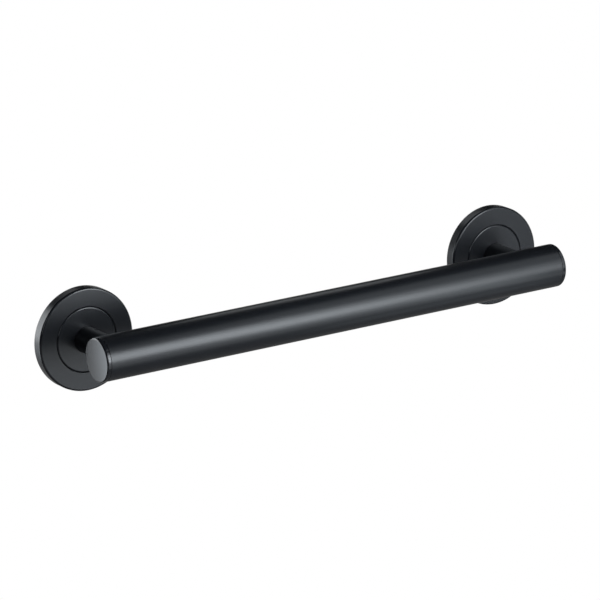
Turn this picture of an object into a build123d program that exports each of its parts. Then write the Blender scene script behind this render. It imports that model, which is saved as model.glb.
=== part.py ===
from build123d import *
import os

# Wall-mounted grab bar, in millimetres.
# X runs along the rail, Y into the wall and Z up. The wall plane is Y = 0, and the origin lies on it,
# midway between the two posts.

# Rail
rail_diameter = 32.0
rail_wall = 1.5
rail_end_chamfer = 0.3
overall_length = 390.0  # over the faces of both end caps
rail_standoff = 57.0  # from the wall plane to the rail's axis

# End caps
cap_head_length = 3.5
cap_edge_chamfer = 0.8
cap_joint_chamfer = 0.3  # with the tube's own, the fine joint line between cap and tube
spigot_length = 10.0
spigot_clearance = 0.05  # radial, spigot in the tube

# Posts
end_overhang = 20.0  # from a post's axis to the face of the end cap beside it
post_diameter = 19.0
post_clearance = 0.05  # radial, post in the boss
weld_leg = 1.2

# Wall flanges
flange_thickness = 3.0
boss_diameter = 47.6
boss_front_wall = 3.5
boss_side_wall = 3.8
boss_edge_chamfer = 0.7
screw_count = 3
screw_hole_diameter = 5.5

# Cover rings
cover_diameter = 75.0
cover_height = 8.5
cover_side_wall = 1.0
cover_front_wall = 2.4
cover_edge_chamfer = 1.0
cover_bore_chamfer = 0.3
cover_gap = 0.2  # the ring-shaped gap between boss and cover
cover_clearance = 0.1  # radial, flange in the cover's rim

# Sizes that follow from those above
rail_radius = rail_diameter / 2
tube_bore_radius = rail_radius - rail_wall
tube_length = overall_length - 2 * cap_head_length
post_spacing = overall_length - 2 * end_overhang
post_radius = post_diameter / 2
flange_radius = cover_diameter / 2 - cover_side_wall - cover_clearance
boss_radius = boss_diameter / 2
boss_recess_depth = cover_height - boss_front_wall
screw_circle_radius = (boss_radius + flange_radius) / 2

ON_BASE = (Align.CENTER, Align.CENTER, Align.MIN)


def disc(radius, height, base=0):
    """A plain cylinder about Z, standing on the height base."""
    return Pos(0, 0, base) * Cylinder(radius, height, align=ON_BASE)


def circles(body, level):
    """The circular edges of a turned body on one level, 0 the lowest and -1 the top, from the axis outwards."""
    return body.edges().filter_by(GeomType.CIRCLE).group_by(Axis.Z)[level].sort_by(SortBy.RADIUS)


def rail_tube():
    """The tube along X, with its outer end edges broken."""
    tube = Cylinder(rail_radius, tube_length) - Cylinder(tube_bore_radius, tube_length)
    rims = tube.edges().filter_by(GeomType.CIRCLE).group_by(SortBy.RADIUS)[-1]
    tube = chamfer(rims, rail_end_chamfer)
    return Pos(0, -rail_standoff, 0) * Rot(0, 90, 0) * tube


def end_cap():
    """A turned cap in its own frame: Z = 0 is the tube's end, and Z points out of the tube."""
    head = disc(rail_radius, cap_head_length)
    head = chamfer(circles(head, -1), cap_edge_chamfer)
    head = chamfer(circles(head, 0), cap_joint_chamfer)
    return head + disc(tube_bore_radius - spigot_clearance, spigot_length, base=-spigot_length)


def post():
    """A round post through the front wall of a boss, coped and welded to the rail. Z = 0 is the wall."""
    stem = disc(post_radius, rail_standoff - boss_recess_depth, base=boss_recess_depth)
    rail = Pos(0, 0, rail_standoff) * Rot(0, 90, 0) * Cylinder(rail_radius, tube_length)
    joined = stem + rail
    saddle = joined.edges().filter_by(GeomType.CIRCLE, reverse=True).filter_by(GeomType.LINE, reverse=True)
    return chamfer(saddle, weld_leg) - rail


def wall_flange(first_screw_angle):
    """The base under a cover ring: a screw flange with a hollow boss. Z = 0 is the wall."""
    boss = disc(boss_radius, cover_height)
    boss = chamfer(circles(boss, -1), boss_edge_chamfer)
    turned = disc(flange_radius, flange_thickness) + boss
    turned -= disc(boss_radius - boss_side_wall, boss_recess_depth)
    turned -= disc(post_radius + post_clearance, cover_height)
    screw_hole = disc(screw_hole_diameter / 2, flange_thickness)
    places = PolarLocations(screw_circle_radius, screw_count, start_angle=first_screw_angle)
    return turned - [place * screw_hole for place in places]


def cover_ring():
    """A cup-shaped ring that fits over the flange and leaves the boss free. Z = 0 is the wall."""
    rim_radius = cover_diameter / 2
    cup = disc(rim_radius, cover_height)
    cup -= disc(rim_radius - cover_side_wall, cover_height - cover_front_wall)
    ring = cup - disc(boss_radius + cover_gap, cover_height)
    ring = chamfer(circles(ring, -1)[0], cover_bore_chamfer)
    return chamfer(circles(ring, -1)[-1], cover_edge_chamfer)


nodes = {"rail_tube": rail_tube()}
for side, sign, outward_angle in (("left", -1, 180), ("right", 1, 0)):
    on_wall = Plane(origin=(sign * post_spacing / 2, 0, 0), x_dir=(1, 0, 0), z_dir=(0, -1, 0))
    on_end = Plane(origin=(sign * tube_length / 2, -rail_standoff, 0), x_dir=(0, 1, 0), z_dir=(sign, 0, 0))
    nodes[side + "_end_cap"] = on_end * end_cap()
    nodes[side + "_post"] = on_wall * post()
    nodes[side + "_wall_flange"] = on_wall * wall_flange(outward_angle)
    nodes[side + "_cover_ring"] = on_wall * cover_ring()

os.makedirs("parts", exist_ok=True)
for name, solid in nodes.items():
    export_step(solid, f"parts/{name}.step")
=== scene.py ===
import math

import bpy
from mathutils import Matrix, Vector
from mathutils.geometry import tessellate_polygon

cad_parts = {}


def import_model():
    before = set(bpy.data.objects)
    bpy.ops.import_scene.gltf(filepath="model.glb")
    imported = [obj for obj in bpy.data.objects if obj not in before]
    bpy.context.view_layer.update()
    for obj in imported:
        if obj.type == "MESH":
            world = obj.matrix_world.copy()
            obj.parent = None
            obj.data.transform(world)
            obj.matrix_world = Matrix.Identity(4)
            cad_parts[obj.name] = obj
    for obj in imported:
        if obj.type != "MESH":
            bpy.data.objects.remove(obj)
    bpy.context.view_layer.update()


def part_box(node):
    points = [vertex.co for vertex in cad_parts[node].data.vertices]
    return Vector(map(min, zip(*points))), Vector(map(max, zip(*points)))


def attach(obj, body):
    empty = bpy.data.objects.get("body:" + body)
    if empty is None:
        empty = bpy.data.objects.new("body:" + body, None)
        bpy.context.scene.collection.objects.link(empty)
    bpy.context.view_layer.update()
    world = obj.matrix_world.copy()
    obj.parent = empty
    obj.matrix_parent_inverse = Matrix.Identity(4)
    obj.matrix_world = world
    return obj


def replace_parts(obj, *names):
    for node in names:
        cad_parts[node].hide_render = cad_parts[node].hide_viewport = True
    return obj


# A wall-mounted grab bar with a satin black coat. X runs along the rail, Y into the wall and Z up.
# Everything is in metres, and heights of the wall pieces are measured out from the wall.

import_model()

MM = 0.001
SIDES = (("left", -1), ("right", 1))

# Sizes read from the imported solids
rail_low, rail_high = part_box("rail_tube")
cap_low, cap_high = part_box("right_end_cap")
post_low, post_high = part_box("right_post")
flange_low, flange_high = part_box("right_wall_flange")
cover_low, cover_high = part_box("right_cover_ring")
rail_radius = (rail_high.z - rail_low.z) / 2
rail_length = rail_high.x - rail_low.x
rail_standoff = -(rail_low.y + rail_high.y) / 2
cap_length = cap_high.x - rail_high.x
spigot_length = rail_high.x - cap_low.x
post_place = (post_low.x + post_high.x) / 2
recess_depth = -post_high.y
flange_radius = (flange_high.z - flange_low.z) / 2
cover_radius = (cover_high.z - cover_low.z) / 2
cover_height = -cover_low.y

# Sizes that the boxes don't show, as in the part's source
RAIL_WALL = 1.5 * MM
SPIGOT_CLEARANCE = 0.05 * MM
POST_RADIUS = 9.5 * MM
POST_CLEARANCE = 0.05 * MM
WELD_LEG = 1.2 * MM
BOSS_RADIUS = 23.8 * MM
BOSS_SIDE_WALL = 3.8 * MM
FLANGE_THICKNESS = 3.0 * MM
SCREW_HOLE_RADIUS = 2.75 * MM
SCREW_COUNT = 3
COVER_SIDE_WALL = 1.0 * MM
COVER_FRONT_WALL = 2.4 * MM
COVER_GAP = 0.2 * MM

# Roundings of the edges
FINE_EDGE = 0.15 * MM
TUBE_EDGE = 0.3 * MM
CAP_EDGE = 1.2 * MM
CAP_DOME = 0.25 * MM
BOSS_EDGE = 1.2 * MM
COVER_EDGE = 1.5 * MM
COVER_BORE_EDGE = 0.35 * MM
FLANGE_CORNER = 0.6 * MM

# Weld beads
BEAD_BULGE = 0.18 * MM
RIPPLE_PITCH = 1.25 * MM
RIPPLE_HEIGHT = 0.05 * MM
RIPPLE_COUNT = round(math.tau * POST_RADIUS / RIPPLE_PITCH)
FOOT_BEAD_WIDTH = 3.6 * MM
FOOT_BEAD_HEIGHT = 0.9 * MM

# How finely the round pieces are divided
TURN_STEPS = 192
ARC_STEPS = 6
HOLE_STEPS = 48
WELD_STEPS = 576
BEAD_STEPS = 10
SADDLE_RINGS = 6
DOME_RINGS = 8
SHARP_ANGLE = math.radians(40)

# Marks on the meshes: the coat is glossier where it lies thinner, on outward roundings and the caps' sides
EDGE_MARK = "edge"
CAP_SIDE_MARK = 0.6  # outward roundings have 1
EDGE_ROUGHNESS = 0.4  # the share of the roughness that is left at a mark of 1

# The coat: ranges of roughness, linear colours, and what the noises and bumps are made with
COAT_ROUGHNESS = (0.27, 0.33)
CAP_ROUGHNESS = (0.20, 0.24)
DARKER_BLACK = (0.0107, 0.0126, 0.0160, 1.0)
LIGHTER_BLACK = (0.0133, 0.0156, 0.0198, 1.0)
COAT_IOR = 1.5
COAT_GLOSS_TINT = (0.925, 0.965, 1.0, 1.0)
CLOUD_NOISE = (45.0, 3.0)  # scale and detail, as in the next two
GRAIN_NOISE = (2600.0, 2.0)
PEEL_NOISE = (520.0, 1.0)
NOISE_RANGE = (0.3, 0.7)  # where most of a noise lies
PEEL_BUMP = (0.1, 0.02 * MM)  # strength and distance, as in the next one
GRAIN_BUMP = (0.15, 0.01 * MM)

# The camera, as fitted to the photo's outlines; the aim is given as for by_rail
CAMERA_AIM = (-0.1558, -0.008, 0.8012)
CAMERA_AZIMUTH = -31.80
CAMERA_ELEVATION = 15.91
CAMERA_ROLL = math.radians(-1.99)
CAMERA_DISTANCE = 2.799
CAMERA_SENSOR = 36.0
CAMERA_LENS = 236.0
PHOTO_PIXELS = 600

# The lights' colours
COOL = (0.958, 0.979, 1.0)
COOL_CARD = (0.91, 0.98, 1.0)
COOL_UNDER = (0.86, 0.93, 1.0)

# Large softboxes round the part: azimuth, elevation, width, height and radiance
STUDIO_AIM = (0.0, 1.06, 0.0)  # given as for by_rail, like the aims below
STUDIO_DISTANCE = 1.5
STUDIO_LIGHTS = {
    "key": (24.0, 10.8, 0.57, 1.06, 3.15),
    "core": (24.0, 6.8, 0.58, 0.56, 4.15),
    "halo": (24.0, 9.0, 0.57, 1.80, 1.6),
    "side": (44.0, 14.0, 0.46, 1.09, 1.36),
    "fill": (56.0, 45.0, 0.84, 0.53, 0.9),
    "low": (20.0, -29.0, 1.65, 0.37, 0.9),
    "front": (-4.0, 18.0, 0.36, 0.60, 2.0),
    "left": (-42.0, 14.0, 0.36, 0.60, 2.2),
    "right": (95.0, 0.0, 0.80, 0.90, 1.3),
    "far_rim": (-135.0, -4.0, 0.53, 0.92, 0.4),
}

# Softboxes behind the left end: azimuth, elevation, width, height, radiance and colour
END_AIM = (-1.2, 2.3, 0.0)
END_DISTANCE = 0.5
END_LIGHTS = {
    "rim": (-147.0, 13.0, 0.23, 0.34, 2.6, COOL),
    "rim_halo": (-142.0, 12.0, 0.44, 0.40, 1.45, COOL),
    "under": (-136.5, -21.0, 0.19, 0.20, 3.3, COOL_UNDER),
    "back": (165.0, 26.0, 0.19, 0.14, 0.5, COOL),
}

# Cards close to the rail: aim, azimuth, elevation, distance, width, height, radiance and colour
RAIL_CARDS = {
    "flank": ((0.15, -1.0, -0.3), 32.0, -11.5, 0.2, 0.255, 0.055, 1.3, COOL_CARD),
    "belly": ((1.085, -0.5, -0.75), 0.0, -60.0, 0.172, 0.22, 0.07, 0.4, COOL_CARD),
    "glow": ((-0.2, -0.5, 0.5), 0.0, 22.0, 0.2155, 0.15, 0.06, 1.5, COOL),
    "card": ((0.06, 0.0, 1.0), 148.7, 35.2, 0.354, 0.20, 0.11, 0.95, COOL),
}

# The studio round the part: levels of light, and where one level fades into the other
WHITE = (1.0, 1.0, 1.0, 1.0)
STUDIO_LEVEL = 0.01
BACKDROP_LEVEL = 0.45
BACKDROP_RISE = (0.12, 0.02)
BACKDROP_BEHIND = (0.35, 0.75)
FLOOR_HALF = 18.0
FLOOR_HEIGHT = -3.0
FLOOR_GREY = (0.8, 0.8, 0.8, 1.0)
FLOOR_ROUGHNESS = 0.9
FLOOR_LEVELS = (0.2, 0.5)
FLOOR_FADE = (2.4, 7.8)


def rounded(corners, closed=True):
    """Rounds the corners of a turned profile and gives its points as (radius, height, normal, edge).

    Each corner is (radius, height, rounding), and the solid lies on the left of the path. Edge is 1 on the
    outward roundings and 0 elsewhere.
    """
    points = []
    count = len(corners)
    for i, (radius, height, rounding) in enumerate(corners):
        here = Vector((radius, height))
        if not closed and i in (0, count - 1):
            other = corners[1] if i == 0 else corners[-2]
            along = Vector(other[:2]) - here
            along = along.normalized() if i == 0 else -along.normalized()
            points.append((here, Vector((along.y, -along.x)), 0.0))
            continue
        before = here - Vector(corners[i - 1][:2])
        after = Vector(corners[(i + 1) % count][:2]) - here
        start_angle = math.atan2(before.y, before.x)
        turn = math.remainder(math.atan2(after.y, after.x) - start_angle, math.tau)
        reach = rounding * math.tan(abs(turn) / 2)
        start = here - before.normalized() * reach
        side = math.copysign(rounding, turn)
        centre = start + Vector((-math.sin(start_angle), math.cos(start_angle))) * side
        for step in range(ARC_STEPS + 1):
            angle = start_angle + turn * step / ARC_STEPS
            normal = Vector((math.sin(angle), -math.cos(angle)))
            on_edge = turn > 0 and 0 < step < ARC_STEPS
            points.append((centre + normal * side, normal, float(on_edge)))
    return [(place.x, place.y, normal, edge) for place, normal, edge in points]


def spoke(angle):
    """The direction out from the Z axis, at an angle round it."""
    return Vector((math.cos(angle), math.sin(angle), 0))


class Skin:
    """A mesh in the making, with a normal for each vertex and a mark on the vertices of edges."""

    def __init__(self):
        self.places = []
        self.normals = []
        self.edges = []
        self.faces = []

    def add(self, place, normal=None, edge=0.0):
        self.places.append(place)
        self.normals.append(normal)
        self.edges.append(edge)
        return len(self.places) - 1

    def turn(self, profile, steps=TURN_STEPS, closed=True, skip=(), centre=(0.0, 0.0)):
        """Turns a profile about Z and gives the vertex rings. No faces follow the points in skip."""
        rings = []
        for radius, height, normal, edge in profile:
            if radius == 0:
                rings.append([self.add(Vector((*centre, height)), Vector((0, 0, normal.y)))] * steps)
                continue
            ring = []
            for i in range(steps):
                out = spoke(math.tau * i / steps)
                place = out * radius + Vector((*centre, height))
                ring.append(self.add(place, out * normal.x + Vector((0, 0, normal.y)), edge))
            rings.append(ring)
        for j in range(len(rings) if closed else len(rings) - 1):
            if j in skip:
                continue
            low, high = rings[j], rings[(j + 1) % len(rings)]
            for i in range(steps):
                k = (i + 1) % steps
                face = [low[i], low[k], high[k], high[i]]
                self.faces.append(list(dict.fromkeys(face)))
        return rings

    def strip(self, angle, section):
        """Adds the points of a section, given as (radius, height), at an angle round Z."""
        return [self.add(spoke(angle) * point.x + Vector((0, 0, point.y))) for point in section]

    def wrap(self, strips, flip=False):
        """Joins strips that stand all round Z. Where they run up, the faces look outward unless flipped."""
        for i, here in enumerate(strips):
            there = strips[(i + 1) % len(strips)]
            for j in range(len(here) - 1):
                face = list(dict.fromkeys([here[j], there[j], there[j + 1], here[j + 1]]))
                self.faces.append([face[0], *face[:0:-1]] if flip else face)

    def fill(self, loops, up):
        """Fills the flat area between an outline and the loops inside it, facing up or down."""
        indices = [index for loop in loops for index in loop]
        for triangle in tessellate_polygon([[self.places[index] for index in loop] for loop in loops]):
            a, b, c = (indices[corner] for corner in triangle)
            face = (self.places[b] - self.places[a]).cross(self.places[c] - self.places[a])
            self.faces.append([a, b, c] if (face.z > 0) == up else [a, c, b])

    def piece(self, name, place, exact_normals=True):
        """Makes the piece, in its place in the part's frame."""
        mesh = bpy.data.meshes.new(name)
        mesh.from_pydata([place @ p for p in self.places], [], self.faces)
        mesh.shade_smooth()
        if exact_normals:
            turned = place.to_3x3()
            mesh.normals_split_custom_set_from_vertices([turned @ n for n in self.normals])
        mesh.attributes.new(EDGE_MARK, "FLOAT", "POINT").data.foreach_set("value", self.edges)
        made = bpy.data.objects.new(name, mesh)
        bpy.context.scene.collection.objects.link(made)
        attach(made, "root")
        return made


def on_wall(sign):
    """The frame of a wall rosette: Z points out of the wall and X along the rail."""
    return Matrix.Translation((sign * post_place, 0, 0)) @ Matrix.Rotation(math.radians(90), 4, "X")


def along_rail(start, sign=1):
    """A frame on the rail's axis: Z points along the rail, to the right or to the left."""
    quarter = Matrix.Rotation(math.radians(90 * sign), 4, "Y")
    return Matrix.Translation((start, -rail_standoff, 0)) @ quarter


def by_rail(along, across, up):
    """A place near the rail: along it in shares of a post's place, else in rail radii from its axis."""
    return Vector((along * post_place, across * rail_radius - rail_standoff, up * rail_radius))


def rail():
    """The tube, with its bore and softened ends."""
    bore = rail_radius - RAIL_WALL
    half = rail_length / 2
    skin = Skin()
    skin.turn(rounded([
        (bore, -half, FINE_EDGE),
        (rail_radius, -half, TUBE_EDGE),
        (rail_radius, half, TUBE_EDGE),
        (bore, half, FINE_EDGE),
    ]))
    made = skin.piece("rail", along_rail(0))
    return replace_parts(made, "rail_tube")


def cap_dome(start_radius):
    """The points of a cap's slightly domed face, from the rounding at its rim to the axis."""
    points = []
    for step in range(1, DOME_RINGS + 1):
        radius = start_radius * (1 - step / DOME_RINGS)
        share = radius / rail_radius
        slope = 2 * CAP_DOME * share / rail_radius
        points.append((radius, cap_length - CAP_DOME * share ** 2, Vector((slope, 1)).normalized(), 0.0))
    return points


def end_cap(side, sign):
    """A turned cap: a spigot in the tube and a slightly domed head that leaves a fine joint line."""
    spigot = rail_radius - RAIL_WALL - SPIGOT_CLEARANCE
    profile = rounded([
        (0, -spigot_length, 0),
        (spigot, -spigot_length, TUBE_EDGE),
        (spigot, 0, FINE_EDGE),
        (rail_radius, 0, TUBE_EDGE),
        (rail_radius, cap_length - CAP_DOME, CAP_EDGE),
        (0, cap_length + CAP_DOME, 0),
    ], closed=False)[:-1]
    rim = rail_radius - FINE_EDGE
    marked = [(r, h, normal, CAP_SIDE_MARK if r > rim else edge) for r, h, normal, edge in profile]
    skin = Skin()
    skin.turn(marked + cap_dome(profile[-1][0]), closed=False)
    made = skin.piece(side + "_cap", along_rail(sign * rail_length / 2, sign))
    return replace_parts(made, side + "_end_cap")


def cover_ring(side, sign):
    """The cup-shaped ring that hides the screws."""
    inside = cover_radius - COVER_SIDE_WALL
    ceiling = cover_height - COVER_FRONT_WALL
    bore = BOSS_RADIUS + COVER_GAP
    skin = Skin()
    skin.turn(rounded([
        (inside, 0, FINE_EDGE),
        (cover_radius, 0, TUBE_EDGE),
        (cover_radius, cover_height, COVER_EDGE),
        (bore, cover_height, COVER_BORE_EDGE),
        (bore, ceiling, FINE_EDGE),
        (inside, ceiling, FINE_EDGE),
    ]))
    made = skin.piece(side + "_cover", on_wall(sign))
    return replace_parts(made, side + "_cover_ring")


def screw_holes(skin, sign):
    """Adds a flange's screw holes, the first one outward, and gives the rings of each from the front."""
    wide = SCREW_HOLE_RADIUS + TUBE_EDGE
    profile = rounded([
        (wide, FLANGE_THICKNESS, 0),
        (SCREW_HOLE_RADIUS, FLANGE_THICKNESS, TUBE_EDGE),
        (SCREW_HOLE_RADIUS, 0, TUBE_EDGE),
        (wide, 0, 0),
    ], closed=False)[1:-1]
    circle = (BOSS_RADIUS + flange_radius) / 2
    holes = []
    for i in range(SCREW_COUNT):
        centre = spoke(math.tau * i / SCREW_COUNT) * circle * sign
        holes.append(skin.turn(profile, HOLE_STEPS, closed=False, centre=centre.xy))
    return holes


def wall_flange(side, sign):
    """The base with its boss, the recess behind it and the screw holes."""
    recess = BOSS_RADIUS - BOSS_SIDE_WALL
    bore = POST_RADIUS + POST_CLEARANCE
    arc = ARC_STEPS + 1
    back_start, back_end = arc - 1, arc
    front_start, front_end = 3 * arc - 1, 3 * arc
    skin = Skin()
    rings = skin.turn(rounded([
        (recess, 0, TUBE_EDGE),
        (flange_radius, 0, TUBE_EDGE),
        (flange_radius, FLANGE_THICKNESS, TUBE_EDGE),
        (BOSS_RADIUS, FLANGE_THICKNESS, FLANGE_CORNER),
        (BOSS_RADIUS, cover_height, BOSS_EDGE),
        (bore, cover_height, FINE_EDGE),
        (bore, recess_depth, FINE_EDGE),
        (recess, recess_depth, FLANGE_CORNER),
    ]), skip=(back_start, front_start))
    holes = screw_holes(skin, sign)
    skin.fill([rings[back_end], rings[back_start]] + [hole[-1] for hole in holes], up=False)
    skin.fill([rings[front_start], rings[front_end]] + [hole[0] for hole in holes], up=True)
    made = skin.piece(side + "_flange", on_wall(sign))
    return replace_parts(made, side + "_wall_flange")


def rail_surface(radius, angle):
    """The height of the rail's near surface above the wall, at a place round a post's axis."""
    across = radius * math.sin(angle)
    return rail_standoff - math.sqrt(rail_radius ** 2 - across ** 2)


def ripple(angle, share):
    """The height of a weld's ripples, at an angle round the post and a share of the bead's width."""
    lag = (2 * share - 1) ** 2 / 2
    wave = math.cos(RIPPLE_COUNT * angle - math.tau * lag)
    return RIPPLE_HEIGHT * wave * math.sin(math.pi * share)


def weld_angles():
    """The angles round a post at which its welds are shaped."""
    return [math.tau * i / WELD_STEPS for i in range(WELD_STEPS)]


def post_section(angle):
    """A post's outline at an angle round it: its side, the weld bead at the rail and the saddle."""
    start = Vector((POST_RADIUS, rail_surface(POST_RADIUS, angle) - WELD_LEG))
    end = Vector((POST_RADIUS + WELD_LEG, rail_surface(POST_RADIUS + WELD_LEG, angle)))
    slope = (end - start).normalized()
    out = Vector((slope.y, -slope.x))
    points = [
        Vector((POST_RADIUS - TUBE_EDGE, recess_depth)),
        Vector((POST_RADIUS, recess_depth + TUBE_EDGE)),
        Vector((POST_RADIUS, recess_depth + 2 * TUBE_EDGE)),
        start - Vector((0, TUBE_EDGE)),
    ]
    for step in range(BEAD_STEPS + 1):
        share = step / BEAD_STEPS
        bulge = BEAD_BULGE * math.sin(math.pi * share) + ripple(angle, share)
        points.append(start.lerp(end, share) + out * bulge)
    for step in range(1, SADDLE_RINGS):
        radius = end.x * (1 - step / SADDLE_RINGS)
        points.append(Vector((radius, rail_surface(radius, angle))))
    return points


def post(side, sign):
    """A post, coped to the rail, with the weld bead along its saddle."""
    skin = Skin()
    foot = skin.add(Vector((0, 0, recess_depth)))
    crown = skin.add(Vector((0, 0, rail_surface(0, 0))))
    skin.wrap([[foot, *skin.strip(angle, post_section(angle)), crown] for angle in weld_angles()])
    made = skin.piece(side + "_stem", on_wall(sign), exact_normals=False)
    made.data.set_sharp_from_angle(angle=SHARP_ANGLE)
    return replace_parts(made, side + "_post")


def foot_section(angle):
    """The weld bead at a post's foot, at an angle round it, from its outer side to its inner one."""
    points = []
    for step in range(BEAD_STEPS + 1):
        share = step / BEAD_STEPS
        radius = POST_RADIUS + FOOT_BEAD_WIDTH * (0.5 - share)
        height = FOOT_BEAD_HEIGHT * math.sin(math.pi * share) + ripple(angle, share)
        points.append(Vector((radius, recess_depth - height)))
    return points


def foot_weld(side, sign):
    """The weld ring round a post's foot, in the recess behind the boss."""
    skin = Skin()
    skin.wrap([skin.strip(angle, foot_section(angle)) for angle in weld_angles()], flip=True)
    return skin.piece(side + "_foot_weld", on_wall(sign), exact_normals=False)


def noise(tree, scale, detail):
    """A noise texture in the part's own frame."""
    where = tree.nodes.new("ShaderNodeTexCoord")
    made = tree.nodes.new("ShaderNodeTexNoise")
    made.inputs["Scale"].default_value = scale
    made.inputs["Detail"].default_value = detail
    tree.links.new(where.outputs["Object"], made.inputs["Vector"])
    return made.outputs["Fac"]


def mapped(tree, value, ends, results, change="LINEAR"):
    """Turns a value between two ends into one between two results."""
    made = tree.nodes.new("ShaderNodeMapRange")
    made.interpolation_type = change
    made.inputs["From Min"].default_value = ends[0]
    made.inputs["From Max"].default_value = ends[1]
    made.inputs["To Min"].default_value = results[0]
    made.inputs["To Max"].default_value = results[1]
    tree.links.new(value, made.inputs["Value"])
    return made.outputs["Result"]


def combined(tree, operation, first, second, added=0.0):
    """The result of a math node on two values. Only MULTIPLY_ADD uses the number added."""
    made = tree.nodes.new("ShaderNodeMath")
    made.operation = operation
    made.inputs[2].default_value = added
    tree.links.new(first, made.inputs[0])
    tree.links.new(second, made.inputs[1])
    return made.outputs["Value"]


def bump(tree, height, strength, distance):
    """A bump node for a height."""
    made = tree.nodes.new("ShaderNodeBump")
    made.inputs["Strength"].default_value = strength
    made.inputs["Distance"].default_value = distance
    tree.links.new(height, made.inputs["Height"])
    return made


def coat_colour(tree):
    """Black with faint clouds."""
    made = tree.nodes.new("ShaderNodeMix")
    made.data_type = "RGBA"
    made.inputs["A"].default_value = DARKER_BLACK
    made.inputs["B"].default_value = LIGHTER_BLACK
    tree.links.new(noise(tree, *CLOUD_NOISE), made.inputs["Factor"])
    return made.outputs["Result"]


def coat_roughness(tree, grain, limits):
    """The roughness of the grain, less at the marks on the mesh."""
    mark = tree.nodes.new("ShaderNodeAttribute")
    mark.attribute_name = EDGE_MARK
    thinner = mapped(tree, mark.outputs["Fac"], (0.0, 1.0), (1.0, EDGE_ROUGHNESS))
    return combined(tree, "MULTIPLY", mapped(tree, grain, NOISE_RANGE, limits), thinner)


def coat_relief(tree, grain):
    """The grain on top of a slight orange peel."""
    peel = bump(tree, noise(tree, *PEEL_NOISE), *PEEL_BUMP)
    fine = bump(tree, grain, *GRAIN_BUMP)
    tree.links.new(peel.outputs["Normal"], fine.inputs["Normal"])
    return fine.outputs["Normal"]


def black_coat(name, limits):
    """Satin black powder coat: a fine grain, a slight orange peel, and faintly uneven colour and gloss."""
    made = bpy.data.materials.new(name)
    made.use_nodes = True
    tree = made.node_tree
    shader = tree.nodes["Principled BSDF"]
    shader.inputs["IOR"].default_value = COAT_IOR
    shader.inputs["Specular Tint"].default_value = COAT_GLOSS_TINT
    grain = noise(tree, *GRAIN_NOISE)
    tree.links.new(coat_colour(tree), shader.inputs["Base Color"])
    tree.links.new(coat_roughness(tree, grain, limits), shader.inputs["Roughness"])
    tree.links.new(coat_relief(tree, grain), shader.inputs["Normal"])
    return made


def toward(azimuth, elevation):
    """A direction away from the part, in degrees. Azimuth 0 is in front and 90 on the right."""
    across, rise = math.radians(azimuth), math.radians(elevation)
    return Vector((
        math.sin(across) * math.cos(rise),
        -math.cos(across) * math.cos(rise),
        math.sin(rise),
    ))


def camera():
    """The camera, at the photo's angle. It stands half a pixel off, to meet the photo's pixel centres."""
    back = toward(CAMERA_AZIMUTH, CAMERA_ELEVATION)
    level = (-back).cross(Vector((0, 0, 1))).normalized()
    upright = level.cross(-back)
    right = level * math.cos(CAMERA_ROLL) + upright * math.sin(CAMERA_ROLL)
    up = upright * math.cos(CAMERA_ROLL) - level * math.sin(CAMERA_ROLL)
    view_width = CAMERA_DISTANCE * CAMERA_SENSOR / CAMERA_LENS
    half_pixel = view_width / PHOTO_PIXELS / 2
    place = by_rail(*CAMERA_AIM) + back * CAMERA_DISTANCE + (up - right) * half_pixel
    data = bpy.data.cameras.new("camera")
    data.sensor_width = CAMERA_SENSOR
    data.lens = CAMERA_LENS
    made = bpy.data.objects.new("camera", data)
    turned = Matrix((right, up, back)).transposed().to_4x4()
    made.matrix_world = Matrix.Translation(place) @ turned
    bpy.context.scene.collection.objects.link(made)
    bpy.context.scene.camera = made


def softbox(name, aim, azimuth, elevation, distance, width, height, radiance, tint):
    """A rectangular soft light that the camera doesn't see. The aim is given as for by_rail."""
    away = toward(azimuth, elevation)
    data = bpy.data.lights.new(name, "AREA")
    data.shape = "RECTANGLE"
    data.size = width
    data.size_y = height
    data.energy = radiance * math.pi * width * height
    data.color = tint
    made = bpy.data.objects.new(name, data)
    made.location = by_rail(*aim) + away * distance
    made.rotation_mode = "QUATERNION"
    made.rotation_quaternion = (-away).to_track_quat("-Z", "Y")
    made.visible_camera = False
    bpy.context.scene.collection.objects.link(made)


def lights():
    """All softboxes and cards."""
    for name, (azimuth, elevation, width, height, radiance) in STUDIO_LIGHTS.items():
        softbox(name, STUDIO_AIM, azimuth, elevation, STUDIO_DISTANCE, width, height, radiance, COOL)
    for name, (azimuth, elevation, width, height, radiance, tint) in END_LIGHTS.items():
        softbox(name, END_AIM, azimuth, elevation, END_DISTANCE, width, height, radiance, tint)
    for name, values in RAIL_CARDS.items():
        softbox(name, *values)


def coordinate(tree, space, axis):
    """One coordinate of a place or of a direction."""
    where = tree.nodes.new("ShaderNodeTexCoord")
    split = tree.nodes.new("ShaderNodeSeparateXYZ")
    tree.links.new(where.outputs[space], split.inputs["Vector"])
    return split.outputs[axis]


def world():
    """A white backdrop low behind the part and a dark studio elsewhere. The camera sees plain white."""
    made = bpy.data.worlds.new("studio")
    made.use_nodes = True
    bpy.context.scene.world = made
    tree = made.node_tree
    background = tree.nodes["Background"]
    background.inputs["Color"].default_value = WHITE
    rise = coordinate(tree, "Generated", "Z")
    depth = coordinate(tree, "Generated", "Y")
    low = mapped(tree, rise, BACKDROP_RISE, (0.0, BACKDROP_LEVEL), "SMOOTHSTEP")
    behind = mapped(tree, depth, BACKDROP_BEHIND, (0.0, 1.0), "SMOOTHSTEP")
    rays = tree.nodes.new("ShaderNodeLightPath")
    seen = tree.nodes.new("ShaderNodeMix")
    seen.inputs["B"].default_value = 1.0
    tree.links.new(rays.outputs["Is Camera Ray"], seen.inputs["Factor"])
    tree.links.new(combined(tree, "MULTIPLY_ADD", low, behind, STUDIO_LEVEL), seen.inputs["A"])
    tree.links.new(seen.outputs["Result"], background.inputs["Strength"])


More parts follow.
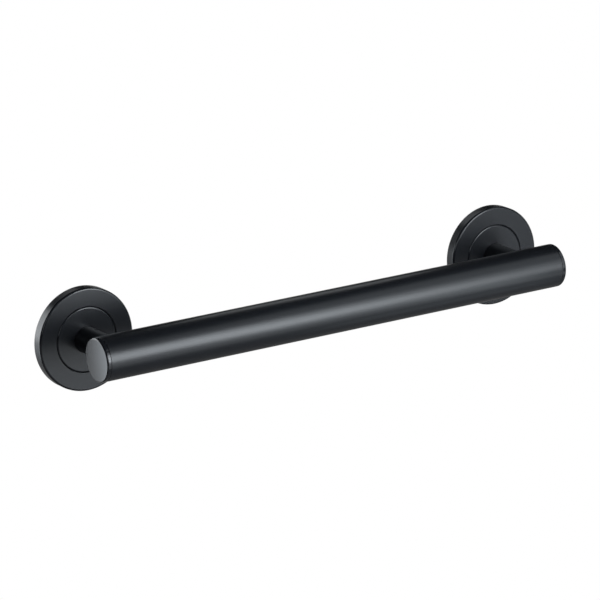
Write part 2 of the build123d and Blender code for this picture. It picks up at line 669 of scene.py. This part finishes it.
def floor_paint():
    """Pale grey under the lights. The camera sees it white, and so do reflections, at lower levels."""
    made = bpy.data.materials.new("floor")
    made.use_nodes = True
    tree = made.node_tree
    shader = tree.nodes["Principled BSDF"]
    shader.inputs["Base Color"].default_value = FLOOR_GREY
    shader.inputs["Roughness"].default_value = FLOOR_ROUGHNESS
    rays = tree.nodes.new("ShaderNodeLightPath")
    looked_at = rays.outputs["Is Camera Ray"]
    mirrored = mapped(tree, coordinate(tree, "Object", "Y"), FLOOR_FADE, FLOOR_LEVELS, "SMOOTHSTEP")
    white = tree.nodes.new("ShaderNodeEmission")
    tree.links.new(combined(tree, "MAXIMUM", mirrored, looked_at), white.inputs["Strength"])
    for other in ("Is Glossy Ray", "Is Transmission Ray"):
        looked_at = combined(tree, "MAXIMUM", looked_at, rays.outputs[other])
    seen = tree.nodes.new("ShaderNodeMixShader")
    tree.links.new(looked_at, seen.inputs["Fac"])
    tree.links.new(shader.outputs["BSDF"], seen.inputs[1])
    tree.links.new(white.outputs["Emission"], seen.inputs[2])
    tree.links.new(seen.outputs["Shader"], tree.nodes["Material Output"].inputs["Surface"])
    return made


def floor():
    """A plain floor far below the part."""
    around = ((-1, -1), (1, -1), (1, 1), (-1, 1))
    corners = [(x * FLOOR_HALF, y * FLOOR_HALF, FLOOR_HEIGHT) for x, y in around]
    mesh = bpy.data.meshes.new("floor")
    mesh.from_pydata(corners, [], [range(len(corners))])
    mesh.materials.append(floor_paint())
    made = bpy.data.objects.new("floor", mesh)
    bpy.context.scene.collection.objects.link(made)


bpy.context.scene.view_settings.view_transform = "Standard"
coat = black_coat("black_coat", COAT_ROUGHNESS)
cap_coat = black_coat("black_coat_on_caps", CAP_ROUGHNESS)
coated = [(rail(), coat)]
for side, sign in SIDES:
    coated.append((end_cap(side, sign), cap_coat))
    coated.append((post(side, sign), coat))
    coated.append((foot_weld(side, sign), coat))
    coated.append((wall_flange(side, sign), coat))
    coated.append((cover_ring(side, sign), coat))
for piece, finish in coated:
    piece.data.materials.append(finish)
camera()
world()
floor()
lights()
